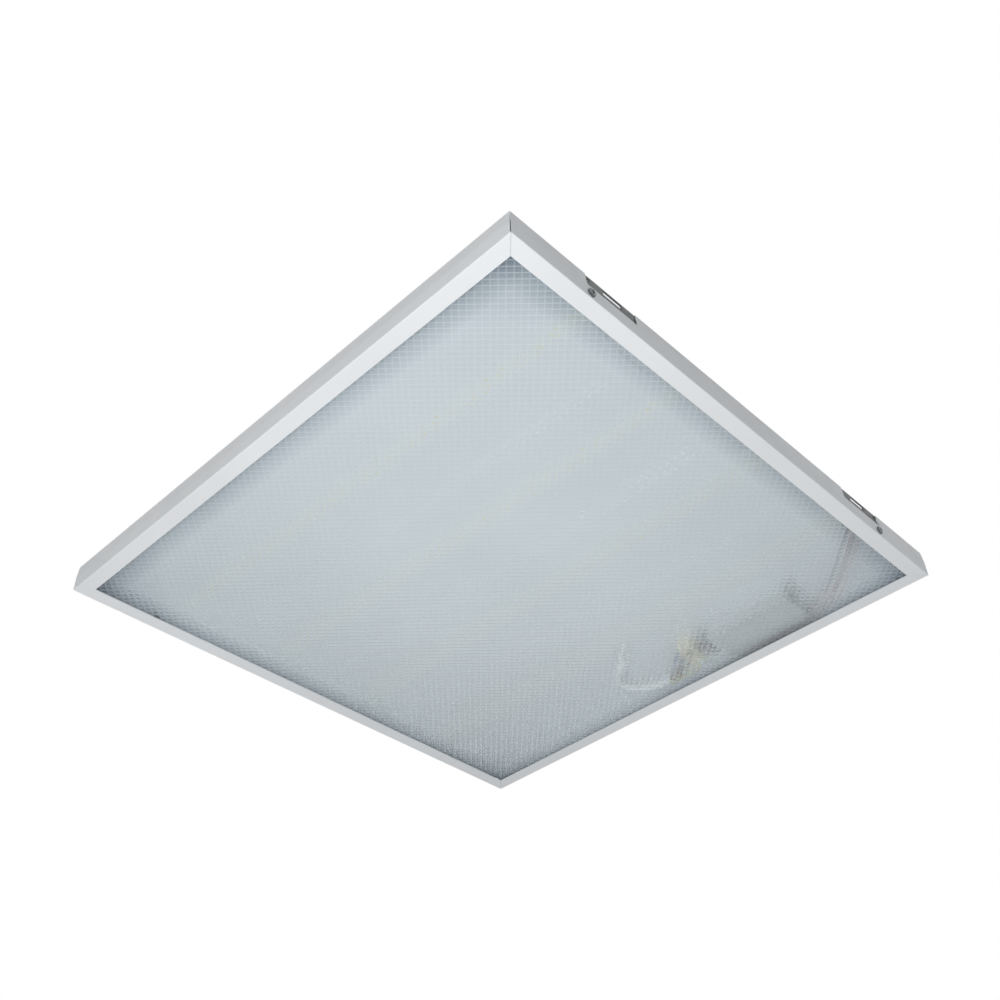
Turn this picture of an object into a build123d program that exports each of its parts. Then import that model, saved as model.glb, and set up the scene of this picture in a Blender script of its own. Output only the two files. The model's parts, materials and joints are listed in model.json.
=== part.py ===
from build123d import *
import os
from math import radians, sqrt, tan

os.makedirs("parts", exist_ok=True)

# A lay-in ceiling light in its installed position, in millimetres. Z = 0 is the
# visible lower face, +Z points up into the ceiling, and the origin is the middle
# of that face. The front is -Y and the right is +X.

# Frame: four mitred steel rails
side = 595.0  # outer side of the square frame
height = 28.0  # from the visible face to the top edge of the walls
face_border = 15.5  # visible border round the diffuser
frame_sheet = 0.6
frame_bend = 1.0  # outer radius of the bend between face and wall
crease_height = 14.0  # above this the wall leans inward
wall_lean = 1.2  # how far the top edge lies inside the foot
mitre_gap = 0.2
corner_slit = 1.0  # how far each wall stops short of the corner
notch_inset = 116.0  # middle of a notch from the corner of the frame
notch_width = 61.0
notch_depth = 13.7
notch_corner = 2.0
dimple_inset = 17.0  # clinch dimple from the corner
dimple_height = 15.0
dimple_radius = 1.6
dimple_length = 5.0
dimple_depth = 0.4

# Corner angles, clinched behind the walls
angle_sheet = 1.0
angle_leg = 26.0
angle_foot = 3.0
angle_head = 25.0

# Hanger straps, each on a pivot screw behind a notch
strap_sheet = 1.2
strap_clear = 0.2  # between a strap and the wall or flange beside it
strap_length = 70.0
strap_outreach = 5.0  # past the pivot, towards the corner
strap_below = 4.5  # under the pivot
strap_above = 21.5  # over the pivot
strap_corner = 3.0
pivot_inset = 89.5  # pivot from the corner of the frame
pivot_height = 6.5
pivot_clear = 0.08  # radial running clearance
slot_offset = 29.5  # middle of the slot from the pivot, along the strap
slot_rise = 17.3  # slot and small hole above the pivot
slot_length = 23.5
slot_width = 5.0
wire_hole = 1.75  # radius of the small hole over the pivot
screw_radius = 2.0
screw_length = 8.0
screw_head_radius = 4.0
screw_head_height = 2.0
screw_hole_clear = 0.1
recess_length = 4.6
recess_width = 0.9
recess_depth = 1.1
head_rounding = 0.6  # of a pan head, as a share of its height
nut_radius = 3.8
nut_height = 3.0
thread_clear = 0.05

# Diffuser and back tray
diffuser_thickness = 2.2
diffuser_inset = 0.3  # of its edge inside the tray flange
tray_drop = 3.0  # back of the tray below the top edge of the walls
tray_sheet = 0.6
tray_corner = 3.0
rib_end_gap = 59.3  # from the end of a rib to the tray flange
rib_width = 18.0
rib_height = 1.2
rib_count = 3

# Light boards
board_count = 4
board_side_gap = 108.3  # from the middle of an outer board to the tray flange
board_width = 15.0
board_end_gap = 14.3  # from the end of a board to the tray flange
board_thickness = 1.0
led_pitch = 20.0
led_margin = 15.0  # at least this far from the last chip to the end of its board
led_width = 2.8
led_length = 3.5
led_height = 0.7
rivet_rows = 4
rivet_pitch = 140.0
rivet_radius = 1.5
rivet_clear = 0.1
rivet_head = 3.0
rivet_head_height = 1.2
rivet_foot = 2.1
rivet_foot_height = 1.0
connector_inset = 6.0  # middle of a connector from the end of its board
connector_width = 7.2
connector_length = 8.0
connector_height = 4.0
connector_corner = 0.5
lead_spacing = 2.6  # between the two leads in one connector
jumper_diameter = 1.4
jumper_run = 16.0  # straight run out of a connector
jumper_bow = 4.0

# Driver, the power supply of the boards
driver_inset = 36.3  # middle of the driver from the right flange of the tray
driver_reach = 172.3  # its middle from the front flange
driver_width = 44.0
driver_length = 100.0
driver_gap = 5.2  # between its lid and the diffuser
driver_wall = 1.8
driver_edge = 1.5
lip_height = 2.0
lip_thickness = 1.2
fit_gap = 0.2  # between a lid or board and the wall round it
ear_inset = 48.3
ear_width = 14.0
ear_length = 10.0
ear_thickness = 2.5
small_screw_radius = 1.5
small_screw_head = 2.8
small_screw_head_height = 2.0
small_screw_rise = 1.5  # how far it stands out behind the tray
circuit_thickness = 1.6
coil_width = 18.0
coil_length = 20.0
coil_gap = 1.2  # under the top of the case
coil_shift = -14.0
can_radius = 4.0
can_gap = 0.8  # under the top of the case
can_spacing = 11.0
can_shift = 22.0
grommet_clear = 0.3  # round a lead in the driver's wall
input_spacing = 7.0
output_inset = 12.0  # of the output leads from the end of the case
output_rise = 5.0  # of the lower one over the joint of the case
output_spacing = 2.6
output_run = 6.3  # straight run of an output lead beside the driver

# Terminal block
block_inset = 44.3  # from the right flange
block_shift = 30.0  # its middle from the end of the driver
pole_count = 3
pole_pitch = 9.0
block_depth = 18.0
block_height = 16.0
block_edge = 1.0
block_sink = 8.5  # lead axis below the tray
insert_radius = 2.4
insert_bore = 1.5
insert_length = 14.0
clamp_screw_radius = 1.3
clamp_screw_spacing = 8.0
clamp_screw_head = 0.6  # its head below the mouth of its hole
block_screw_radius = 1.25
block_screw_head = 2.2
block_screw_head_height = 1.5

# Cable entry and earth point
sheath_diameter = 6.2
gland_inset = 84.3  # from the right flange
gland_shift = 93.0  # from the end of the driver
gland_radius = 6.0
gland_flange = 8.0
gland_flange_height = 1.5
gland_clear = 0.1
earth_inset = 24.3
earth_shift = 12.0
stud_radius = 2.0
stud_length = 6.0
stud_head = 4.0
stud_head_height = 1.0
earth_nut_flats = 7.0
earth_nut_height = 3.0
ring_radius = 4.0
ring_sheet = 0.8
barrel_radius = 1.8
barrel_start = 4.5  # from the stud's axis
barrel_gap = 0.1  # under the tray
barrel_length = 6.0
core_diameter = 2.0
core_offset = 1.3  # of the two lower cores from the middle of the sheath
core_drop = 0.7  # of those cores below it
core_rise = 1.5  # of the third core above it
core_straight = 5.0  # straight run of a core out of the sheath
core_depth = 4.5  # end of a core from the middle of the terminal block
core_approach = 5.0  # straight run of a core before the terminal block
link_start = 3.0  # straight run of a driver lead out of the terminal block
link_approach = 8.5  # and before the driver
link_end = 2.2  # of a driver lead past the inner face of the driver's wall
lead_end = 0.5  # of a lead past the inner face of the driver's wall
output_diameter = 1.6
output_straight = 14.0  # straight run of an output lead into its connector

# Heights and lines that follow from these
tray_top = height - tray_drop
tray_inner = tray_top - tray_sheet
tray_foot = frame_sheet + diffuser_thickness
notch_offset = side / 2 - notch_inset
pivot_offset = side / 2 - pivot_inset
strap_outer = side / 2 - frame_sheet - wall_lean - strap_clear
strap_inner = strap_outer - strap_sheet
flange_outer = strap_inner - strap_clear
flange_inner = flange_outer - tray_sheet
rib_length = 2 * (flange_inner - rib_end_gap)
board_length = 2 * (flange_inner - board_end_gap)
board_pitch = 2 * (flange_inner - board_side_gap) / (board_count - 1)
led_count = 2 * int((board_length / 2 - led_margin) / led_pitch) + 1
driver_x = flange_inner - driver_inset
ear_x = flange_inner - ear_inset
block_x = flange_inner - block_inset
gland_x = flange_inner - gland_inset
earth_x = flange_inner - earth_inset
driver_y = driver_reach - flange_inner
driver_end = driver_y + driver_length / 2
block_y = driver_end + block_shift
gland_y = driver_end + gland_shift
earth_y = driver_end + earth_shift
board_under = tray_inner - board_thickness
driver_under = tray_foot + driver_gap
driver_joint = driver_under + driver_wall
driver_ceiling = tray_inner - driver_wall
block_under = tray_inner - block_height
block_width = pole_count * pole_pitch
lead_level = tray_inner - block_sink
barrel_level = tray_inner - barrel_gap - barrel_radius
board_places = [(n - (board_count - 1) / 2) * board_pitch for n in range(board_count)]
pole_places = [block_x + (n - (pole_count - 1) / 2) * pole_pitch for n in range(pole_count)]
connector_line = -board_length / 2 + connector_inset
connector_level = board_under - connector_height / 2


def save(piece, name):
    piece.label = name
    export_step(piece, f"parts/{name}.step")


def turned(piece, degrees):
    return piece.rotate(Axis.Z, degrees)


def pan_screw(head_radius, head_height, shank_radius, length, recess=recess_length):
    """A screw with its head under Z = 0 and its shank along +Z."""
    with BuildPart() as screw:
        Cylinder(head_radius, head_height, align=(Align.CENTER, Align.CENTER, Align.MAX))
        fillet(screw.edges().sort_by(Axis.Z)[0], head_height * head_rounding)
        for angle in (0, 90):
            with Locations(Location((0, 0, -head_height), (0, 0, angle))):
                Box(recess, recess_width, 2 * recess_depth, mode=Mode.SUBTRACT)
        Cylinder(shank_radius, length, align=(Align.CENTER, Align.CENTER, Align.MIN))
    return screw.part


def frame_rail(notched):
    """One rail, made for the front side."""
    foot = -side / 2
    with BuildPart() as rail:
        with BuildSketch(Plane.YZ) as profile:
            with BuildLine():
                Polyline(
                    (foot, 0),
                    (foot + face_border, 0),
                    (foot + face_border, frame_sheet),
                    (foot + frame_sheet, frame_sheet),
                    (foot + frame_sheet, crease_height),
                    (foot + frame_sheet + wall_lean, height),
                    (foot + wall_lean, height),
                    (foot, crease_height),
                    close=True,
                )
            make_face()
            corner = profile.vertices().sort_by_distance(Vector(foot, 0, 0))[0]
            fillet(corner, frame_bend)
        extrude(amount=side / 2, both=True)
        shift = mitre_gap / 2 / sqrt(2)
        for hand in (-1, 1):
            mitre = Plane(origin=(-hand * shift, -shift, 0), z_dir=(-hand, -1, 0))
            split(bisect_by=mitre, keep=Keep.TOP)
        wall_depth = frame_sheet + wall_lean
        with Locations((-side / 2, foot, frame_bend), (side / 2, foot, frame_bend)):
            Box(
                2 * corner_slit,
                2 * wall_depth,
                height,
                align=(Align.CENTER, Align.CENTER, Align.MIN),
                mode=Mode.SUBTRACT,
            )
        dimple_y = foot + dimple_depth - dimple_radius
        dimple_x = side / 2 - dimple_inset
        with Locations((-dimple_x, dimple_y, dimple_height), (dimple_x, dimple_y, dimple_height)):
            Cylinder(dimple_radius, dimple_length, mode=Mode.SUBTRACT)
        if notched:
            with BuildSketch(Plane.XZ.offset(side / 2 - 2 * wall_depth)):
                with Locations((-notch_offset, height), (notch_offset, height)):
                    RectangleRounded(notch_width, 2 * notch_depth, notch_corner)
                with Locations((-pivot_offset, pivot_height), (pivot_offset, pivot_height)):
                    Circle(screw_radius + screw_hole_clear)
            extrude(amount=3 * wall_depth, mode=Mode.SUBTRACT)
    return rail.part


def corner_angle():
    """The angle behind the front left corner, bent like the walls it lies against."""
    start = -side / 2 + frame_sheet
    lean = wall_lean * (angle_head - crease_height) / (height - crease_height)
    with BuildPart() as angle:
        for plane, along in ((Plane.YZ, 1), (Plane.XZ, -1)):
            reach = start + wall_lean
            with BuildSketch(plane.offset(along * reach)):
                with BuildLine():
                    Polyline(
                        (start, angle_foot),
                        (start + angle_sheet, angle_foot),
                        (start + angle_sheet, crease_height),
                        (start + angle_sheet + lean, angle_head),
                        (start + lean, angle_head),
                        (start, crease_height),
                        close=True,
                    )
                make_face()
            extrude(amount=along * angle_leg)
    return angle.part


def hanger_strap():
    """The strap at the right end of the front side."""
    with BuildPart() as strap:
        with BuildSketch(Plane.XZ.offset(strap_inner)) as outline:
            with Locations((pivot_offset + strap_outreach, pivot_height - strap_below)):
                Rectangle(
                    strap_length, strap_below + strap_above, align=(Align.MAX, Align.MIN)
                )
            low, high = outline.vertices().group_by(Axis.Y)
            fillet(low.sort_by(Axis.X)[-1], strap_below)
            fillet([*high, low.sort_by(Axis.X)[0]], strap_corner)
            with Locations((pivot_offset, pivot_height)):
                Circle(screw_radius + pivot_clear, mode=Mode.SUBTRACT)
            with Locations((pivot_offset, pivot_height + slot_rise)):
                Circle(wire_hole, mode=Mode.SUBTRACT)
            with Locations((pivot_offset - slot_offset, pivot_height + slot_rise)):
                SlotOverall(slot_length, slot_width, mode=Mode.SUBTRACT)
        extrude(amount=strap_sheet)
    return strap.part


def board_rivet():
    """A push rivet with its head under the board and its foot behind the tray."""
    align = (Align.CENTER, Align.CENTER, Align.MIN)
    with BuildPart() as rivet:
        with Locations((0, 0, board_under - rivet_head_height)):
            Cylinder(rivet_head, rivet_head_height, align=align)
        fillet(rivet.edges().sort_by(Axis.Z)[0], rivet_head_height / 2)
        with Locations((0, 0, board_under)):
            Cylinder(rivet_radius, board_thickness + tray_sheet, align=align)
        with Locations((0, 0, tray_top)):
            Cylinder(rivet_foot, rivet_foot_height, align=align)
    return rivet.part


def bend_radii(points):
    """The largest arc that the two runs at each inner point allow."""
    radii = []
    for before, here, after in zip(points, points[1:], points[2:]):
        first, second = Vector(*here) - Vector(*before), Vector(*after) - Vector(*here)
        shorter = min(first.length, second.length)
        radii.append(0.45 * shorter / tan(radians(first.get_angle(second) / 2)))
    return radii


def lead(name, points, diameter):
    """A round lead along straight runs joined by tangent arcs."""
    radii = bend_radii(points)
    with BuildPart() as tube:
        with BuildLine() as route:
            FilletPolyline(*points, radius=radii)
        with BuildSketch(Plane(route.line @ 0, z_dir=route.line % 0)) as section:
            Circle(diameter / 2)
        sweep()
    length = sum(edge.length for edge in route.edges())
    share = tube.part.volume / (section.sketch.area * length)
    print(name, "length", round(length, 1), "volume share", round(share, 4))
    print("  radii", [round(radius, 1) for radius in radii])
    return tube.part


# Frame rails and corner angles
for name, quarter in (("front", 0), ("right", 1), ("back", 2), ("left", 3)):
    rail_piece = frame_rail(notched=quarter % 2 == 0)
    save(turned(rail_piece, 90 * quarter), f"frame_rail_{name}")
for quarter, name in enumerate(("front_left", "front_right", "back_right", "back_left")):
    save(turned(corner_angle(), 90 * quarter), f"corner_angle_{name}")

# Hanger straps
right_strap = hanger_strap()
left_strap = right_strap.mirror(Plane.YZ)
save(right_strap, "hanger_strap_front_right")
save(left_strap, "hanger_strap_front_left")
save(turned(right_strap, 180), "hanger_strap_back_left")
save(turned(left_strap, 180), "hanger_strap_back_right")

# Pivot screws through wall, strap and flange, with a nut on the inside
pivots = [
    Location((x, -hand * side / 2, pivot_height), (-90 * hand, 0, 0))
    for hand in (1, -1)
    for x in (-pivot_offset, pivot_offset)
]
with BuildPart() as strap_screws:
    with Locations(pivots):
        add(pan_screw(screw_head_radius, screw_head_height, screw_radius, screw_length))
save(strap_screws.part, "strap_screws")

with BuildPart() as strap_nut:
    with BuildSketch():
        RegularPolygon(nut_radius, 6)
        Circle(screw_radius + thread_clear, mode=Mode.SUBTRACT)
    extrude(amount=nut_height)
with BuildPart() as strap_nuts:
    with Locations(pivots):
        with Locations((0, 0, side / 2 - flange_inner)):
            add(strap_nut.part)
save(strap_nuts.part, "strap_nuts")

# Diffuser, lying on the border of the frame
with BuildPart() as diffuser:
    with BuildSketch(Plane.XY.offset(frame_sheet)):
        Rectangle(2 * (flange_outer - diffuser_inset), 2 * (flange_outer - diffuser_inset))
    extrude(amount=diffuser_thickness)
save(diffuser.part, "diffuser")

# Back tray: a pan with raised ribs, open downwards
rivet_places = [
    (x, (row - (rivet_rows - 1) / 2) * rivet_pitch)
    for x in board_places
    for row in range(rivet_rows)
]
ear_places = [
    (ear_x, driver_y + end * (driver_length + ear_length) / 2) for end in (-1, 1)
]
block_screw_place = (block_x - pole_pitch / 2, block_y)
with BuildPart() as back_tray:
    with BuildSketch(Plane.XY.offset(tray_foot)):
        RectangleRounded(2 * flange_outer, 2 * flange_outer, tray_corner)
    extrude(amount=tray_top - tray_foot)
    with BuildSketch(Plane.XY.offset(tray_top)):
        with GridLocations(board_pitch, 1, rib_count, 1):
            SlotOverall(rib_length, rib_width, rotation=90)
    extrude(amount=rib_height, taper=45)
    with BuildSketch(Plane.XY.offset(tray_foot)):
        RectangleRounded(2 * flange_inner, 2 * flange_inner, tray_corner - tray_sheet)
    extrude(amount=tray_inner - tray_foot, mode=Mode.SUBTRACT)
    with BuildSketch(Plane.XY.offset(tray_inner)):
        with GridLocations(board_pitch, 1, rib_count, 1):
            SlotOverall(rib_length, rib_width, rotation=90)
    extrude(amount=rib_height, taper=45, mode=Mode.SUBTRACT)
    with BuildSketch(Plane.XY.offset(tray_inner)):
        with Locations(*rivet_places):
            Circle(rivet_radius + rivet_clear)
        with Locations(*ear_places):
            Circle(small_screw_radius + thread_clear)
        with Locations(block_screw_place):
            Circle(block_screw_radius + thread_clear)
        with Locations((earth_x, earth_y)):
            Circle(stud_radius + thread_clear)
        with Locations((gland_x, gland_y)):
            Circle(gland_radius)
    extrude(amount=tray_sheet, mode=Mode.SUBTRACT)
    with BuildSketch(Plane.XZ):
        with Locations((-pivot_offset, pivot_height), (pivot_offset, pivot_height)):
            Circle(screw_radius + screw_hole_clear)
    extrude(amount=flange_outer, both=True, mode=Mode.SUBTRACT)
save(back_tray.part, "back_tray")

# Light boards, their light-emitting chips, rivets and connectors
for number, x in enumerate(board_places, start=1):
    with BuildPart() as led_board:
        with BuildSketch(Plane.XY.offset(board_under)):
            with Locations((x, 0)):
                Rectangle(board_width, board_length)
            with Locations(*[place for place in rivet_places if place[0] == x]):
                Circle(rivet_radius + rivet_clear, mode=Mode.SUBTRACT)
        extrude(amount=board_thickness)
    save(led_board.part, f"led_board_{number}")
    with BuildPart() as led_row:
        with BuildSketch(Plane.XY.offset(board_under)):
            with Locations((x, 0)):
                with GridLocations(1, led_pitch, 1, led_count):
                    Rectangle(led_width, led_length)
        extrude(amount=-led_height)
    save(led_row.part, f"led_row_{number}")

with BuildPart() as board_rivets:
    with Locations(*rivet_places):
        add(board_rivet())
save(board_rivets.part, "board_rivets")

inlets = [(x, 1) for x in board_places]
outlets = [(x, -1) for x in board_places[1:]]
with BuildPart() as board_connectors:
    for x, hand in inlets + outlets:
        with Locations((x + hand * connector_width / 2, connector_line, board_under)):
            Box(
                connector_width - fit_gap,
                connector_length,
                connector_height,
                align=(Align.CENTER, Align.CENTER, Align.MAX),
            )
    fillet(board_connectors.edges().filter_by(Axis.Z), connector_corner)
save(board_connectors.part, "board_connectors")

connector_reach = connector_width - fit_gap / 2
lead_lines = [connector_line - lead_spacing / 2, connector_line + lead_spacing / 2]
with BuildPart() as jumper_leads:
    for left, right in zip(board_places, board_places[1:]):
        start, end = left + connector_reach, right - connector_reach
        for line, bow in zip(lead_lines, (-1, 1)):
            shifted = line + bow * jumper_bow
            jumper = lead(
                "jumper lead",
                [
                    (start, line, connector_level),
                    (start + jumper_run, line, connector_level),
                    (start + 2 * jumper_run, shifted, connector_level),
                    (end - 2 * jumper_run, shifted + bow, connector_level),
                    (end - jumper_run, line, connector_level),
                    (end, line, connector_level),
                ],
                jumper_diameter,
            )
            add(jumper)
save(jumper_leads.part, "jumper_leads")

# Driver: case, lid, circuit board with its parts, and two fixing screws
case_height = tray_inner - driver_joint
inner_width = driver_width - 2 * driver_wall
inner_length = driver_length - 2 * driver_wall
input_places = [(driver_x, lead_level), (driver_x - input_spacing, lead_level)]
output_y = driver_end - output_inset
output_levels = [driver_joint + output_rise + n * output_spacing for n in range(2)]
with BuildPart() as driver_case:
    with BuildSketch(Plane.XY.offset(driver_joint)):
        with Locations((driver_x, driver_y)):
            RectangleRounded(driver_width, driver_length, driver_edge)
    extrude(amount=case_height)
    with BuildSketch(Plane.XY.offset(driver_joint)):
        with Locations((driver_x, driver_y)):
            Rectangle(inner_width, inner_length)
    extrude(amount=driver_ceiling - driver_joint, mode=Mode.SUBTRACT)
    with BuildSketch(Plane.XY.offset(tray_inner)):
        with Locations((ear_x, driver_y)):
            Rectangle(ear_width, driver_length + 2 * ear_length)
            with Locations(*[(0, y - driver_y) for _, y in ear_places]):
                Circle(small_screw_radius + thread_clear, mode=Mode.SUBTRACT)
        with Locations((driver_x, driver_y)):
            Rectangle(inner_width, inner_length, mode=Mode.SUBTRACT)
    extrude(amount=-ear_thickness)
    with BuildSketch(Plane.XZ.offset(-driver_end)):
        with Locations(*input_places):
            Circle(core_diameter / 2 + grommet_clear)
    extrude(amount=driver_wall, mode=Mode.SUBTRACT)
    with BuildSketch(Plane.YZ.offset(driver_x + driver_width / 2)):
        with Locations(*[(output_y, level) for level in output_levels]):
            Circle(output_diameter / 2 + grommet_clear)
    extrude(amount=-driver_wall, mode=Mode.SUBTRACT)
save(driver_case.part, "driver_case")

with BuildPart() as driver_lid:
    with BuildSketch(Plane.XY.offset(driver_under)):
        with Locations((driver_x, driver_y)):
            RectangleRounded(driver_width, driver_length, driver_edge)
    extrude(amount=driver_wall)
    with BuildSketch(Plane.XY.offset(driver_joint)):
        with Locations((driver_x, driver_y)):
            Rectangle(inner_width - 2 * fit_gap, inner_length - 2 * fit_gap)
            Rectangle(
                inner_width - 2 * fit_gap - 2 * lip_thickness,
                inner_length - 2 * fit_gap - 2 * lip_thickness,
                mode=Mode.SUBTRACT,
            )
    extrude(amount=lip_height)
save(driver_lid.part, "driver_lid")

circuit_under = driver_joint + lip_height
circuit_top = circuit_under + circuit_thickness
with BuildPart() as driver_circuit:
    with BuildSketch(Plane.XY.offset(circuit_under)):
        with Locations((driver_x, driver_y)):
            Rectangle(inner_width - 2 * fit_gap, inner_length - 2 * fit_gap)
    extrude(amount=circuit_thickness)
save(driver_circuit.part, "driver_circuit")

with BuildPart() as driver_coil:
    with BuildSketch(Plane.XY.offset(circuit_top)):
        with Locations((driver_x, driver_y + coil_shift)):
            RectangleRounded(coil_width, coil_length, driver_edge)
    extrude(amount=driver_ceiling - coil_gap - circuit_top)
save(driver_coil.part, "driver_coil")

with BuildPart() as driver_capacitors:
    with BuildSketch(Plane.XY.offset(circuit_top)):
        with Locations((driver_x, driver_y + can_shift)):
            with GridLocations(can_spacing, 1, 2, 1):
                Circle(can_radius)
    extrude(amount=driver_ceiling - can_gap - circuit_top)
    fillet(driver_capacitors.faces().sort_by(Axis.Z)[-1].edges(), driver_edge / 3)
save(driver_capacitors.part, "driver_capacitors")

ear_under = tray_inner - ear_thickness
with BuildPart() as driver_screws:
    with Locations(*[(x, y, ear_under) for x, y in ear_places]):
        add(
            pan_screw(
                small_screw_head,
                small_screw_head_height,
                small_screw_radius,
                ear_thickness + tray_sheet + small_screw_rise,
                small_screw_head,
            )
        )
save(driver_screws.part, "driver_screws")

# Terminal block: body, brass inserts, clamp screws and its fixing screw
clamp_places = [
    (x, block_y + row * clamp_screw_spacing / 2) for x in pole_places for row in (-1, 1)
]
with BuildPart() as terminal_block:
    with BuildSketch(Plane.XY.offset(block_under)):
        with Locations((block_x, block_y)):
            RectangleRounded(block_width, block_depth, block_edge)
    extrude(amount=block_height)
    chamfer(terminal_block.faces().sort_by(Axis.Z)[0].edges(), block_edge / 2)
    with BuildSketch(Plane.XZ.offset(-block_y)):
        with Locations(*[(x, lead_level) for x in pole_places]):
            Circle(insert_radius)
    extrude(amount=block_depth, both=True, mode=Mode.SUBTRACT)
    with BuildSketch(Plane.XY.offset(block_under)):
        with Locations(*clamp_places):
            Circle(clamp_screw_radius + thread_clear)
    extrude(amount=lead_level - block_under, mode=Mode.SUBTRACT)
    with BuildSketch(Plane.XY.offset(block_under)):
        with Locations(block_screw_place):
            Circle(block_screw_radius + thread_clear)
    extrude(amount=block_height, mode=Mode.SUBTRACT)
save(terminal_block.part, "terminal_block")

with BuildPart() as terminal_inserts:
    with BuildSketch(Plane.XZ.offset(-block_y)):
        with Locations(*[(x, lead_level) for x in pole_places]):
            Circle(insert_radius - thread_clear)
            Circle(insert_bore, mode=Mode.SUBTRACT)
    extrude(amount=insert_length / 2, both=True)
    with BuildSketch(Plane.XY.offset(block_under)):
        with Locations(*clamp_places):
            Circle(clamp_screw_radius + thread_clear)
    extrude(amount=lead_level - block_under, mode=Mode.SUBTRACT)
save(terminal_inserts.part, "terminal_inserts")

with BuildPart() as terminal_screws:
    with BuildSketch(Plane.XY.offset(block_under + clamp_screw_head)):
        with Locations(*clamp_places):
            Circle(clamp_screw_radius)
            Rectangle(2 * clamp_screw_radius, clamp_screw_radius / 2, mode=Mode.SUBTRACT)
    extrude(amount=clamp_screw_head)
    with BuildSketch(Plane.XY.offset(block_under + 2 * clamp_screw_head)):
        with Locations(*clamp_places):
            Circle(clamp_screw_radius)
    extrude(amount=lead_level - insert_bore - block_under - 2 * clamp_screw_head)
save(terminal_screws.part, "terminal_screws")

with BuildPart() as block_screw:
    with Locations((*block_screw_place, block_under)):
        add(
            pan_screw(
                block_screw_head,
                block_screw_head_height,
                block_screw_radius,
                block_height + tray_sheet + small_screw_rise,
                block_screw_head,
            )
        )
save(block_screw.part, "block_screw")

# Cable gland in the tray
with BuildPart() as cable_gland:
    with BuildSketch(Plane.XY.offset(tray_inner - gland_flange_height)):
        with Locations((gland_x, gland_y)):
            Circle(gland_flange)
    extrude(amount=gland_flange_height)
    with BuildSketch(Plane.XY.offset(tray_inner)):
        with Locations((gland_x, gland_y)):
            Circle(gland_radius - thread_clear)
    extrude(amount=tray_sheet)
    with BuildSketch(Plane.XY.offset(tray_top)):
        with Locations((gland_x, gland_y)):
            Circle(gland_flange)
    extrude(amount=gland_flange_height)
    fillet(cable_gland.faces().sort_by(Axis.Z)[-1].edges(), gland_flange_height / 2)
    with BuildSketch(Plane.XY.offset(tray_inner - gland_flange_height)):
        with Locations((gland_x, gland_y)):
            Circle(sheath_diameter / 2 + gland_clear)
    extrude(amount=2 * gland_flange_height + tray_sheet, mode=Mode.SUBTRACT)
save(cable_gland.part, "cable_gland")

# Earth point: stud, ring terminal and nut
with BuildPart() as earth_stud:
    with BuildSketch(Plane.XY.offset(tray_top)):
        with Locations((earth_x, earth_y)):
            Circle(stud_radius)
    extrude(amount=-stud_length)
    with BuildSketch(Plane.XY.offset(tray_top)):
        with Locations((earth_x, earth_y)):
            Circle(stud_head)
    extrude(amount=stud_head_height)
    fillet(earth_stud.faces().sort_by(Axis.Z)[-1].edges(), stud_head_height / 2)
save(earth_stud.part, "earth_stud")

ring_under = tray_inner - ring_sheet
barrel_end = earth_y + barrel_start + barrel_length
with BuildPart() as earth_ring:
    with BuildSketch(Plane.XY.offset(ring_under)):
        with Locations((earth_x, earth_y)):
            Circle(ring_radius)
            Rectangle(
                2 * barrel_radius,
                barrel_start + barrel_length / 2,
                align=(Align.CENTER, Align.MIN),
            )
            Circle(stud_radius + thread_clear, mode=Mode.SUBTRACT)
    extrude(amount=ring_sheet)
    with BuildSketch(Plane.XZ.offset(-barrel_end)):
        with Locations((earth_x, barrel_level)):
            Circle(barrel_radius)
    extrude(amount=barrel_length)
    with BuildSketch(Plane.XZ.offset(-barrel_end)):
        with Locations((earth_x, barrel_level)):
            Circle(core_diameter / 2 + thread_clear)
    extrude(amount=barrel_length, mode=Mode.SUBTRACT)
save(earth_ring.part, "earth_ring")

with BuildPart() as earth_nut:
    with BuildSketch(Plane.XY.offset(ring_under)):
        with Locations((earth_x, earth_y)):
            RegularPolygon(earth_nut_flats / 2, 6, major_radius=False)
            Circle(stud_radius + thread_clear, mode=Mode.SUBTRACT)
    extrude(amount=-earth_nut_height)
save(earth_nut.part, "earth_nut")


def route_points(*places):
    """Points given by their distances from the right flange, from the end of the
    driver and from the back of the tray."""
    return [
        (flange_inner - inset, driver_end + shift, tray_inner - drop)
        for inset, shift, drop in places
    ]


# Supply cable from the gland, in its loop, to where its sheath ends
sheath_turn, sheath_end = route_points((25.8, 93, 14.1), (22.3, 78, 13.6))
mains_cable = lead(
    "mains cable",
    [
        (gland_x, gland_y, tray_top + gland_flange_height),
        *route_points(
            (gland_inset, gland_shift, 14),
            (80.8, 104, 14.6),
            (72.3, 115, 14.8),
            (58.3, 121, 14.8),
            (44.3, 118.5, 14.7),
            (33.3, 108, 14.5),
        ),
        sheath_turn,
        sheath_end,
    ],
    sheath_diameter,
)
save(mains_cable, "mains_cable")

# Its three cores, which leave the cut end of the sheath square to it
sheath_axis = (Vector(*sheath_end) - Vector(*sheath_turn)).normalized()
sheath_across = sheath_axis.cross(Vector(0, 0, 1)).normalized()
sheath_above = sheath_across.cross(sheath_axis)


def core_exit(across, above):
    """Where a core leaves the sheath, and the end of its first straight run."""
    start = Vector(*sheath_end) + sheath_across * across + sheath_above * above
    return [tuple(start), tuple(start + sheath_axis * core_straight)]


core_turn = block_y + block_depth / 2 + core_approach
core_stop = block_y + core_depth
earth_core = lead(
    "earth core",
    core_exit(-core_offset, -core_drop)
    + route_points((17.3, 60, 13.6), (16.5, 50, 11.8), (18.8, 40, 8.8), (22.3, 32, 4.9))
    + [
        (earth_x, barrel_end + barrel_length / 2, barrel_level),
        (earth_x, barrel_end - barrel_length / 2, barrel_level),
    ],
    core_diameter,
)
save(earth_core, "earth_core")

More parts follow.
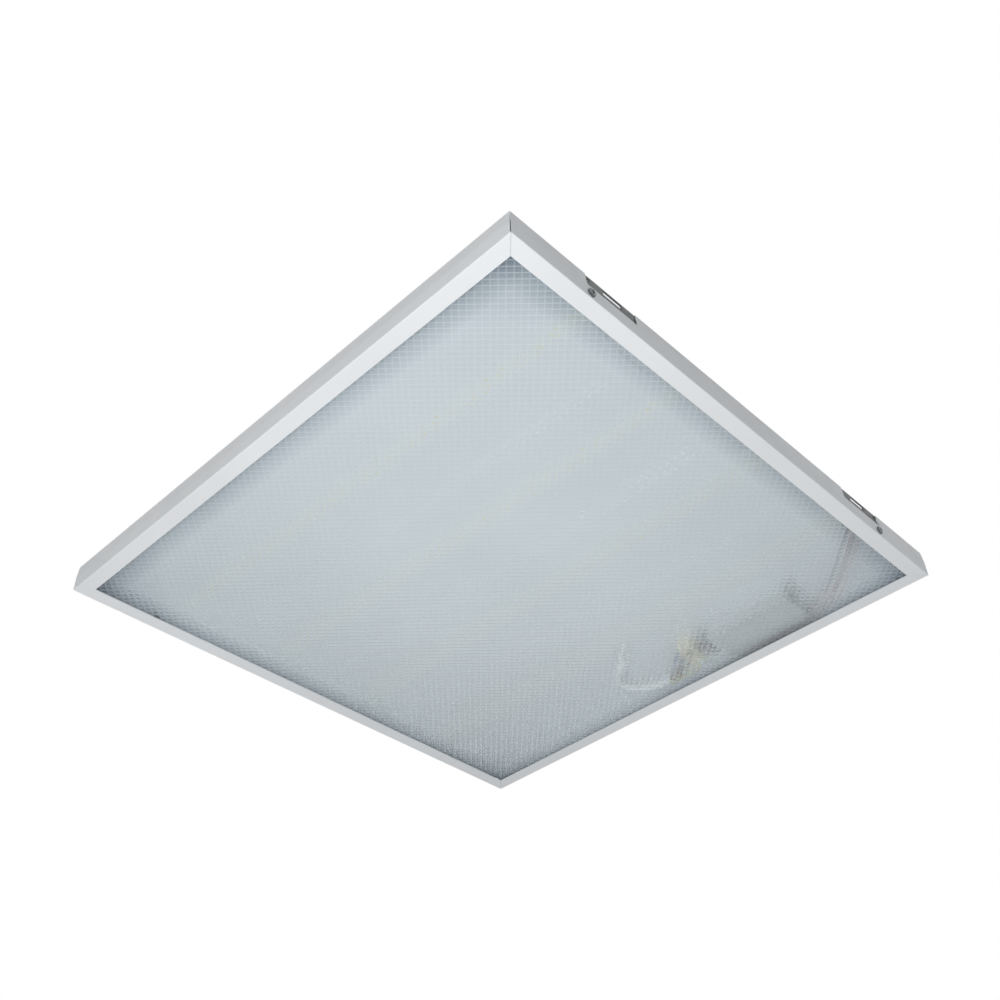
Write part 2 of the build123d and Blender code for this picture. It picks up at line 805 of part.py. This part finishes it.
line_core = lead(
    "line core",
    core_exit(core_offset, -core_drop)
    + route_points((23, 63, 13.2), (28.3, 54, 11.2))
    + [
        (pole_places[2], core_turn, lead_level),
        (pole_places[2], core_stop, lead_level),
    ],
    core_diameter,
)
save(line_core, "line_core")

neutral_core = lead(
    "neutral core",
    core_exit(0, core_rise)
    + route_points((23.8, 64, 10.5), (31.8, 57.5, 9.1), (40.8, 52, 8.5))
    + [
        (pole_places[1], core_turn, lead_level),
        (pole_places[1], core_stop, lead_level),
    ],
    core_diameter,
)
save(neutral_core, "neutral_core")

# Short leads from the terminal block into the driver
for name, start_x, end_x in (
    ("driver_line_lead", pole_places[2], input_places[0][0]),
    ("driver_neutral_lead", pole_places[1], input_places[1][0]),
):
    driver_lead = lead(
        name,
        [
            (start_x, block_y - core_depth, lead_level),
            (start_x, block_y - block_depth / 2 - link_start, lead_level),
            (end_x, driver_end + link_approach, lead_level),
            (end_x, driver_end - driver_wall - link_end, lead_level),
        ],
        core_diameter,
    )
    save(driver_lead, name)

# Output leads from the driver to the connector of the last board
driver_side = driver_x + driver_width / 2
output_start = driver_side - driver_wall - lead_end
output_end = board_places[-1] + connector_reach
positive_lead = lead(
    "positive lead",
    [
        (output_start, output_y, output_levels[0]),
        (driver_side + output_run, output_y, output_levels[0]),
        *route_points(
            (6.3, -32, 9.5),
            (7.1, -62, 9.3),
            (6.5, -92, 9.3),
            (9.7, -120, 8.4),
            (21.7, -145, 6.9),
            (41.7, -168, 5.2),
            (64.7, -188, 3.6),
        ),
        (output_end + output_straight, lead_lines[0], connector_level),
        (output_end, lead_lines[0], connector_level),
    ],
    output_diameter,
)
save(positive_lead, "positive_lead")

negative_lead = lead(
    "negative lead",
    [
        (output_start, output_y, output_levels[1]),
        (driver_side + output_run, output_y, output_levels[1]),
        *route_points(
            (6.8, -33, 6.5),
            (7.7, -64, 6.6),
            (7.3, -93, 6.2),
            (12.2, -117, 5.4),
            (25.7, -140, 4.2),
            (45.7, -162, 3.4),
            (68.7, -182, 3.1),
        ),
        (output_end + output_straight, lead_lines[1], connector_level),
        (output_end, lead_lines[1], connector_level),
    ],
    output_diameter,
)
save(negative_lead, "negative_lead")
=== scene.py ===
import json
from math import cos, radians, sin, sqrt

import bmesh
import bpy
from mathutils import Matrix, Vector


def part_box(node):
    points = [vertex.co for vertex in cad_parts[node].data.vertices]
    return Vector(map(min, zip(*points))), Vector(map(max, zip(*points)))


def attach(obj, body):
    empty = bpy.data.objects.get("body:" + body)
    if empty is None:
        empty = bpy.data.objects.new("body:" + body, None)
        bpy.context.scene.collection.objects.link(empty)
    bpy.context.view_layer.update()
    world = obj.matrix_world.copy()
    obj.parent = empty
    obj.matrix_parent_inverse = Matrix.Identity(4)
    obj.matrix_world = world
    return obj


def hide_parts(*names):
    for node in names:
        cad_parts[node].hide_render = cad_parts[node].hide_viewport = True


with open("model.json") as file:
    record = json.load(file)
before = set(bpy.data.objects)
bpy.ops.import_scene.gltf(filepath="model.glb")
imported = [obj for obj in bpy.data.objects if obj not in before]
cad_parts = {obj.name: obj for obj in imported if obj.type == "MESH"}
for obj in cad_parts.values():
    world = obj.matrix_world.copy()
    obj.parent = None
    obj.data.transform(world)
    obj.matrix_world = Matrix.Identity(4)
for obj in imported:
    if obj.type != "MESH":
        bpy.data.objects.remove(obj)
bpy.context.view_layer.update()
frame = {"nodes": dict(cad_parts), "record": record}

housing = "housing"

# Camera: direction back from the object, roll and the object's place in its axes
camera_azimuth = radians(-46.89)
camera_elevation = radians(-41.06)
camera_roll = radians(-2.14)
camera_shift = (-0.00444, 0.08124)
camera_distance = 1.2255
camera_near, camera_far = 0.01, 50
sensor = 36.0
lens = 44.907

# Diffuser: square pyramids on its lower side, turned 45 degrees to the edges
prism_pitch = 0.00603
prism_depth = 0.0006

# Look of the diffuser: painted shade darkens its cells, and its valleys are painted paler as a highlight
acrylic = (0.96, 0.975, 0.985)
acrylic_index = 1.49
acrylic_roughness = 0.18
acrylic_roughness_range = (0.165, 0.195)
pane_colour = (0.98, 1.0, 1.0)
# The darker cell colour is painted shade, for the corners and edges of the sheet
painted_shade_cell_colour, pale_cell = (0.19, 0.235, 0.29), (0.92, 0.955, 0.98)
deepest_painted_shade = 0.3
# The paler valley colour is a painted highlight, not a tint of the acrylic
valley_highlight_colour = (0.99, 1, 1)
valley_start, valley_end = 0.80, 0.92  # share of the way from an apex to a valley
# How strongly the painted highlight shows along each family of valleys
level_highlight_strength, upright_highlight_strength = 1.0, 0.6  # strength of the lines, as the camera sees them

# Painted shade of the diffuser: where its falls start and end, and what is left of 1 there
painted_centre_shade_falls = ((0.10, 0.41, 0.84), (0.33, 0.40, 0.72))  # distances from the centre
painted_rim_shade_fall = (0.036, 0.009, 0.70)  # distances from an edge

# Part of a noise's range that colour and roughness follow
colour_from, colour_to = 0.35, 0.65
roughness_from, roughness_to = 0.3, 0.7

# Light chips: half their pitch, and where the phosphor window ends on each side
chip_half_pitch = 0.010
window_end, package_start = 0.00120, 0.00125
chip_phosphor, chip_white = (0.88, 0.74, 0.42), (0.84, 0.83, 0.79)

# Earth core: two colours along the wire
core_yellow, core_green = (0.74, 0.66, 0.14), (0.14, 0.36, 0.12)
wire_roughness = 0.38
wire_grain = 1400
wire_grain_height = 0.000012

# First and last colour and mean roughness of the plainer slots
powder_coats = {
    "white_frame": ((0.84, 0.85, 0.86), (0.87, 0.88, 0.89), 0.42),
    "white_tray": ((0.80, 0.815, 0.83), (0.83, 0.845, 0.86), 0.5),
}
metals = {
    "bright_screw": ((0.13, 0.14, 0.15), (0.22, 0.23, 0.24), 0.3),
    "brass_insert": ((0.70, 0.50, 0.20), (0.80, 0.60, 0.28), 0.28),
    "tinned_copper": ((0.60, 0.59, 0.57), (0.70, 0.69, 0.66), 0.3),
}
plastics = {
    "white_nylon": ((0.80, 0.80, 0.78), (0.86, 0.86, 0.84), 0.45),
    "driver_plastic": ((0.62, 0.63, 0.635), (0.67, 0.68, 0.685), 0.5),
    "coil_tape": ((0.80, 0.58, 0.07), (0.88, 0.66, 0.10), 0.3),
    "capacitor_sleeve": ((0.03, 0.03, 0.04), (0.06, 0.06, 0.07), 0.3),
    "cream_block": ((0.76, 0.71, 0.58), (0.81, 0.76, 0.63), 0.45),
    "gland_nylon": ((0.60, 0.60, 0.59), (0.68, 0.68, 0.67), 0.5),
}
wires = {
    "white_sheath": ((0.93, 0.93, 0.93), (0.96, 0.96, 0.96)),
    "white_lead": ((0.82, 0.82, 0.81), (0.87, 0.87, 0.86)),
    "brown_core": ((0.22, 0.07, 0.04), (0.30, 0.10, 0.06)),
    "blue_core": ((0.04, 0.10, 0.30), (0.06, 0.13, 0.37)),
    "red_lead": ((0.56, 0.27, 0.23), (0.62, 0.31, 0.26)),
    "black_lead": ((0.20, 0.20, 0.21), (0.25, 0.25, 0.26)),
}

# Stage and light
floor_level = -1.6
floor_half = 6.0
floor_tones = ((0.79, 0.79, 0.79), (0.81, 0.81, 0.81))
floor_mirrored = (0.72, 0.75, 0.78)
floor_wash = 0.6  # share of white in the floor that the camera sees
world_colour = (0.93, 0.97, 1.0)
world_strength = 0.37
lamps = (  # name, place, aim, diameter, watts
    ("key", (-0.74, -0.42, -1.00), (-0.1, -0.1, 0), 0.45, 8.6),
    ("top", (1.0, 0.7, 1.6), (0, 0, 0), 1.0, 22),
)


def add_node(owner, kind, **values):
    """A node in the tree of a material or world."""
    node = owner.node_tree.nodes.new(kind)
    for name, value in values.items():
        setattr(node, name, value)
    return node


def feed(owner, target, value):
    """Links another node's output to an input, or sets the input to a plain value."""
    if isinstance(value, bpy.types.NodeSocket):
        owner.node_tree.links.new(value, target)
    else:
        target.default_value = value


def calculate(owner, operation, *values):
    node = add_node(owner, "ShaderNodeMath", operation=operation)
    for target, value in zip(node.inputs, values):
        feed(owner, target, value)
    return node.outputs["Value"]


def map_range(owner, source, from_low, from_high, to_low, to_high):
    """Maps from_low to from_high of source onto to_low to to_high, and goes no further."""
    mapped = add_node(owner, "ShaderNodeMapRange")
    feed(owner, mapped.inputs["Value"], source)
    feed(owner, mapped.inputs["From Min"], from_low)
    feed(owner, mapped.inputs["From Max"], from_high)
    feed(owner, mapped.inputs["To Min"], to_low)
    feed(owner, mapped.inputs["To Max"], to_high)
    return mapped.outputs["Result"]


def either(owner, first, second):
    """The greater of two values, so 1 where one of two ray tests is 1."""
    return calculate(owner, "MAXIMUM", first, second)


def mirrored(owner, rays):
    """1 for a ray that comes by way of a mirror or clear plastic."""
    return either(owner, rays.outputs["Is Glossy Ray"], rays.outputs["Is Transmission Ray"])


def mix_shaders(owner, factor, first, second):
    """The shader first where factor is 0, second where it is 1."""
    blend = add_node(owner, "ShaderNodeMixShader")
    for target, value in zip(blend.inputs, (factor, first, second)):
        feed(owner, target, value)
    return blend.outputs["Shader"]


def mix_colours(material, factor, first, second):
    """The colour first where factor is 0, second where it is 1."""
    blend = add_node(material, "ShaderNodeMix", data_type="RGBA")
    factor_input, first_input, second_input, colour_output = 0, 6, 7, 2
    feed(material, blend.inputs[factor_input], factor)
    feed(material, blend.inputs[first_input], first)
    feed(material, blend.inputs[second_input], second)
    return blend.outputs[colour_output]


def ramp(material, source, low, high, first, last):
    """Blends from the colour first to the colour last as source goes from low to high."""
    blend = add_node(material, "ShaderNodeValToRGB")
    for stop, place, colour in zip(blend.color_ramp.elements, (low, high), (first, last)):
        stop.position = place
        stop.color = (*colour, 1)
    feed(material, blend.inputs["Fac"], source)
    return blend.outputs["Color"]


def place_in_object(material):
    return add_node(material, "ShaderNodeTexCoord").outputs["Object"]


def split_axes(material, vector):
    parts = add_node(material, "ShaderNodeSeparateXYZ")
    feed(material, parts.inputs["Vector"], vector)
    return parts.outputs


def noise(material, scale, detail=2.0):
    """Noise over the object's own metres, from 0 to 1. scale is features per metre."""
    texture = add_node(material, "ShaderNodeTexNoise")
    feed(material, texture.inputs["Scale"], scale)
    feed(material, texture.inputs["Detail"], detail)
    feed(material, texture.inputs["Vector"], place_in_object(material))
    return texture.outputs["Fac"]


def make_material(name, colour, roughness, metallic=0.0):
    """A node material with one Principled shader. Returns it and that shader."""
    material = bpy.data.materials.new(name)
    material.use_nodes = True
    shader = material.node_tree.nodes["Principled BSDF"]
    feed(material, shader.inputs["Base Color"], (*colour, 1))
    feed(material, shader.inputs["Roughness"], roughness)
    feed(material, shader.inputs["Metallic"], metallic)
    return material, shader


def vary_colour(material, shader, first, last, scale):
    colour = ramp(material, noise(material, scale), colour_from, colour_to, first, last)
    feed(material, shader.inputs["Base Color"], colour)


def vary_roughness(material, shader, low, high, scale):
    texture = noise(material, scale, detail=3.0)
    result = map_range(material, texture, roughness_from, roughness_to, low, high)
    feed(material, shader.inputs["Roughness"], result)


def add_bump(material, shader, source, height, strength=0.6):
    """Bump whose full height is in metres."""
    bump = add_node(material, "ShaderNodeBump")
    feed(material, bump.inputs["Distance"], height)
    feed(material, bump.inputs["Strength"], strength)
    feed(material, bump.inputs["Height"], source)
    feed(material, shader.inputs["Normal"], bump.outputs["Normal"])


def show(owner, result):
    """Makes a shader the surface of a material or world."""
    kind = "Material Output" if isinstance(owner, bpy.types.Material) else "World Output"
    feed(owner, owner.node_tree.nodes[kind].inputs["Surface"], result)


def powder_coat(name, first, last, roughness):
    """White powder coat: a fine orange peel and faint cloudiness."""
    material, shader = make_material(name, first, roughness)
    vary_colour(material, shader, first, last, scale=9)
    vary_roughness(material, shader, roughness - 0.05, roughness + 0.06, scale=60)
    add_bump(material, shader, noise(material, scale=900), height=0.00003, strength=0.5)
    return material


def plated(name, first, last, roughness):
    """Bright metal with faint turning marks."""
    material, shader = make_material(name, first, roughness, metallic=1.0)
    vary_colour(material, shader, first, last, scale=500)
    vary_roughness(material, shader, roughness - 0.05, roughness + 0.1, scale=700)
    add_bump(material, shader, noise(material, scale=2500), height=0.000006)
    return material


def galvanised():
    """Zinc coated steel: faint spangle, dull patches."""
    material, shader = make_material("galvanised", (0.17, 0.18, 0.185), 0.55, metallic=0.6)
    spangle = add_node(material, "ShaderNodeTexVoronoi")
    feed(material, spangle.inputs["Scale"], 260)
    feed(material, spangle.inputs["Vector"], place_in_object(material))
    tone = add_node(material, "ShaderNodeSeparateColor")
    feed(material, tone.inputs["Color"], spangle.outputs["Color"])
    colour = ramp(material, tone.outputs["Red"], 0.0, 1.0, (0.14, 0.15, 0.155), (0.20, 0.21, 0.215))
    feed(material, shader.inputs["Base Color"], colour)
    vary_roughness(material, shader, 0.48, 0.62, scale=120)
    add_bump(material, shader, noise(material, scale=1800), height=0.00001)
    return material


def moulded(name, first, last, roughness, grain=2200, height=0.00001):
    """Moulded plastic with a fine spark texture."""
    material, shader = make_material(name, first, roughness)
    vary_colour(material, shader, first, last, scale=90)
    vary_roughness(material, shader, roughness - 0.05, roughness + 0.07, scale=300)
    add_bump(material, shader, noise(material, grain), height)
    return material


def insulation(name, first, last):
    return moulded(name, first, last, wire_roughness, wire_grain, wire_grain_height)


def striped_core():
    """Green and yellow insulation: the green runs along one side of the wire."""
    material, shader = make_material("green_yellow_core", core_yellow, wire_roughness)
    normal = split_axes(material, add_node(material, "ShaderNodeNewGeometry").outputs["Normal"])
    colour = ramp(material, normal["X"], 0.30, 0.36, core_yellow, core_green)
    feed(material, shader.inputs["Base Color"], colour)
    vary_roughness(material, shader, 0.34, 0.44, scale=300)
    add_bump(material, shader, noise(material, wire_grain), wire_grain_height)
    return material


def printed_board(name, plain, tones, scale, track, roughness_high, roughness_scale):
    """Solder mask over tracks of the width track. tones are two of the mask, then the tracks'."""
    material, shader = make_material(name, plain, 0.35)
    tracks = add_node(material, "ShaderNodeTexBrick")
    feed(material, tracks.inputs["Scale"], scale)
    feed(material, tracks.inputs["Mortar Size"], track)
    for target, tone in zip(("Color1", "Color2", "Mortar"), tones):
        feed(material, tracks.inputs[target], (*tone, 1))
    feed(material, tracks.inputs["Vector"], place_in_object(material))
    feed(material, shader.inputs["Base Color"], tracks.outputs["Color"])
    vary_roughness(material, shader, 0.28, roughness_high, roughness_scale)
    add_bump(material, shader, tracks.outputs["Fac"], height=0.00003, strength=0.5)
    return material


def circuit_board():
    """Green solder mask with paler tracks."""
    tones = (0.04, 0.17, 0.07), (0.05, 0.22, 0.09), (0.10, 0.34, 0.15)
    return printed_board(
        "circuit_board",
        (0.05, 0.20, 0.09),
        tones,
        scale=90,
        track=0.03,
        roughness_high=0.42,
        roughness_scale=400,
    )


def light_board():
    """White solder mask with faint tracks under it."""
    tones = (0.86, 0.865, 0.855), (0.84, 0.845, 0.835), (0.79, 0.795, 0.78)
    return printed_board(
        "white_board",
        (0.80, 0.80, 0.785),
        tones,
        scale=50,
        track=0.012,
        roughness_high=0.40,
        roughness_scale=300,
    )


def light_chip():
    """A white chip package with its yellow phosphor window in the middle."""
    material, shader = make_material("led_chip", chip_phosphor, 0.3)
    place = split_axes(material, place_in_object(material))
    from_middle = calculate(material, "PINGPONG", place["Y"], chip_half_pitch)
    colour = ramp(material, from_middle, window_end, package_start, chip_phosphor, chip_white)
    feed(material, shader.inputs["Base Color"], colour)
    vary_roughness(material, shader, 0.22, 0.38, scale=900)
    add_bump(material, shader, noise(material, scale=3000), height=0.00001, strength=0.5)
    return material


def prism_grid():
    """How many half diagonals of the pyramids fit along a side of the diffuser, and how long each is."""
    low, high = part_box("diffuser")
    side = high[0] - low[0]
    count = round(side / (prism_pitch / sqrt(2)))
    return count, side / count


def painted_valley_highlight(material):
    """Painted highlight, up to 1 along the valleys of the pyramids, 0 on their faces and on the flat side.
    """
    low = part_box("diffuser")[0]
    step = prism_grid()[1]
    place = split_axes(material, place_in_object(material))
    families = (
        ("ADD", low[0] + low[1], level_highlight_strength),
        ("SUBTRACT", low[0] - low[1], upright_highlight_strength),
    )
    lines = []
    for operation, start, strength in families:
        diagonal = calculate(material, operation, place["X"], place["Y"])
        from_corner = calculate(material, "SUBTRACT", diagonal, start)
        across = calculate(material, "PINGPONG", from_corner, step)
        lines.append(map_range(material, across, valley_start * step, valley_end * step, 0, strength))
    prisms = calculate(material, "LESS_THAN", place["Z"], low[2] + 2 * prism_depth)
    return calculate(material, "MULTIPLY", either(material, *lines), prisms)


def painted_corner_and_rim_shade(material):
    """Painted shade: 1 in the middle of the diffuser, less towards its corners and close to its edges."""
    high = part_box("diffuser")[1]
    place = place_in_object(material)
    radius = add_node(material, "ShaderNodeVectorMath", operation="LENGTH")
    feed(material, radius.inputs[0], place)
    axes = split_axes(material, place)
    falls = []
    for start, end, least in painted_centre_shade_falls:
        falls.append(map_range(material, radius.outputs["Value"], start, end, 1, least))
    start, end, least = painted_rim_shade_fall
    for axis, edge in (("X", high[0]), ("Y", high[1])):
        distance = calculate(material, "ABSOLUTE", axes[axis])
        falls.append(map_range(material, distance, edge - start, edge - end, 1, least))
    shade = falls[0]
    for following in falls[1:]:
        shade = calculate(material, "MULTIPLY", shade, following)
    return shade


def clear_prisms():
    """Clear acrylic, a little paler along the valleys of its pyramids (painted highlight), darker at the
    edges (painted shade).
    Lamps and diffuse light pass it as through a plain pane."""
    material, shader = make_material("prismatic_sheet", acrylic, acrylic_roughness)
    # Painted shade: the cells darken towards the corners and close to the edges
    cells = ramp(material, painted_corner_and_rim_shade(material), deepest_painted_shade, 1, painted_shade_cell_colour, pale_cell)
    # Painted highlight: the valleys of the pyramids are painted paler than the cells
    colour = mix_colours(material, painted_valley_highlight(material), cells, (*valley_highlight_colour, 1))
    feed(material, shader.inputs["Base Color"], colour)
    vary_roughness(material, shader, *acrylic_roughness_range, scale=150)
    feed(material, shader.inputs["IOR"], acrylic_index)
    feed(material, shader.inputs["Transmission Weight"], 1.0)
    rays = add_node(material, "ShaderNodeLightPath")
    straight = either(material, rays.outputs["Is Shadow Ray"], rays.outputs["Is Diffuse Ray"])
    pane = add_node(material, "ShaderNodeBsdfTransparent")
    feed(material, pane.inputs["Color"], (*pane_colour, 1))
    show(material, mix_shaders(material, straight, shader.outputs["BSDF"], pane.outputs["BSDF"]))
    return material


def make_materials():
    """The material of every slot, by the slot's name."""
    materials = {
        "galvanised": galvanised(),
        "prismatic_sheet": clear_prisms(),
        "white_board": light_board(),
        "led_chip": light_chip(),
        "circuit_board": circuit_board(),
        "green_yellow_core": striped_core(),
    }
    kinds = ((powder_coats, powder_coat), (metals, plated), (plastics, moulded), (wires, insulation))
    for looks, make in kinds:
        for name, look in looks.items():
            materials[name] = make(name, *look)
    return materials


def dress_nodes(materials):
    """Gives every CAD node the material of its slot."""
    for subpart in frame["record"]["subparts"]:
        mesh = frame["nodes"][subpart["node"]].data
        mesh.materials.clear()
        mesh.materials.append(materials[subpart["material_slot"]])


def add_object(name, data):
    thing = bpy.data.objects.new(name, data)
    bpy.context.scene.collection.objects.link(thing)
    return thing


def mesh_object(name, mesh, material):
    """Turns a finished bmesh into an object with one material."""
    data = bpy.data.meshes.new(name)
    mesh.to_mesh(data)
    mesh.free()
    data.materials.append(material)
    return add_object(name, data)


def prism_sheet(material):
    """The diffuser: apexes and valleys alternate over a square grid, and each square
    is split from valley to valley, which gives pyramids turned by 45 degrees."""
    low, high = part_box("diffuser")
    count, step = prism_grid()
    mesh = bmesh.new()
    lower = {}
    for i in range(count + 1):
        for j in range(count + 1):
            valley = (i + j) % 2
            spot = (low[0] + i * step, low[1] + j * step, low[2] + valley * prism_depth)
            lower[i, j] = mesh.verts.new(spot)
    for i in range(count):
        for j in range(count):
            a, b, c, d = lower[i, j], lower[i + 1, j], lower[i + 1, j + 1], lower[i, j + 1]
            halves = ((a, c, b), (a, d, c)) if (i + j) % 2 else ((a, d, b), (b, d, c))
            for corners in halves:
                mesh.faces.new(corners)
    edge = [(i, 0) for i in range(count)] + [(count, j) for j in range(count)]
    edge += [(i, count) for i in range(count, 0, -1)] + [(0, j) for j in range(count, 0, -1)]
    upper = [mesh.verts.new((*lower[spot].co.xy, high[2])) for spot in edge]
    for n, spot in enumerate(edge):
        following = (n + 1) % len(edge)
        mesh.faces.new((lower[spot], lower[edge[following]], upper[following], upper[n]))
    mesh.faces.new(upper)
    bmesh.ops.recalc_face_normals(mesh, faces=mesh.faces)
    sheet = mesh_object("prismatic_diffuser", mesh, material)
    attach(sheet, housing)
    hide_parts("diffuser")


def add_camera():
    back = Vector(
        (
            sin(camera_azimuth) * cos(camera_elevation),
            -cos(camera_azimuth) * cos(camera_elevation),
            sin(camera_elevation),
        )
    )
    level = Vector((0, 0, 1)).cross(back).normalized()
    rise = back.cross(level)
    across = cos(camera_roll) * level + sin(camera_roll) * rise
    upward = cos(camera_roll) * rise - sin(camera_roll) * level
    axes = Matrix((across, upward, back)).transposed()
    place = axes @ Vector((*camera_shift, camera_distance))
    data = bpy.data.cameras.new("camera")
    data.sensor_width = sensor
    data.lens = lens
    data.clip_start, data.clip_end = camera_near, camera_far
    camera = add_object("camera", data)
    camera.matrix_world = Matrix.Translation(place) @ axes.to_4x4()
    bpy.context.scene.camera = camera


def add_lamp(name, place, aim, diameter, power):
    data = bpy.data.lights.new(name, "AREA")
    data.shape = "DISK"
    data.size = diameter
    data.energy = power
    lamp = add_object(name, data)
    lamp.location = place
    lamp.visible_camera = False
    lamp.visible_glossy = False
    direction = Vector(aim) - Vector(place)
    lamp.rotation_euler = direction.to_track_quat("-Z", "Y").to_euler()


def add_world():
    """Soft light all round, and plain white for what is seen of it."""
    world = bpy.data.worlds.new("studio")
    bpy.context.scene.world = world
    world.use_nodes = True
    light = world.node_tree.nodes["Background"]
    feed(world, light.inputs["Color"], (*world_colour, 1))
    feed(world, light.inputs["Strength"], world_strength)
    white = add_node(world, "ShaderNodeBackground")
    feed(world, white.inputs["Color"], (1, 1, 1, 1))
    feed(world, white.inputs["Strength"], 1.0)
    rays = add_node(world, "ShaderNodeLightPath")
    seen = either(world, rays.outputs["Is Camera Ray"], mirrored(world, rays))
    show(world, mix_shaders(world, seen, light.outputs["Background"], white.outputs["Background"]))


def add_floor():
    """A pale floor: washed with white for the camera, and pale in mirrors and clear plastic."""
    material, shader = make_material("floor", (0.80, 0.80, 0.80), 0.8)
    vary_colour(material, shader, *floor_tones, scale=3)
    pale = add_node(material, "ShaderNodeEmission")
    feed(material, pale.inputs["Color"], (*floor_mirrored, 1))
    white = add_node(material, "ShaderNodeEmission")
    rays = add_node(material, "ShaderNodeLightPath")
    lit = mix_shaders(material, mirrored(material, rays), shader.outputs["BSDF"], pale.outputs["Emission"])
    wash = calculate(material, "MULTIPLY", rays.outputs["Is Camera Ray"], floor_wash)
    show(material, mix_shaders(material, wash, lit, white.outputs["Emission"]))
    mesh = bmesh.new()
    corners = [(-1, -1), (1, -1), (1, 1), (-1, 1)]
    mesh.faces.new([mesh.verts.new((x * floor_half, y * floor_half, floor_level)) for x, y in corners])
    floor = mesh_object("floor", mesh, material)


add_camera()
materials = make_materials()
dress_nodes(materials)
prism_sheet(materials["prismatic_sheet"])
add_floor()
add_world()
for lamp in lamps:
    add_lamp(*lamp)
bpy.context.scene.view_settings.view_transform = "Standard"
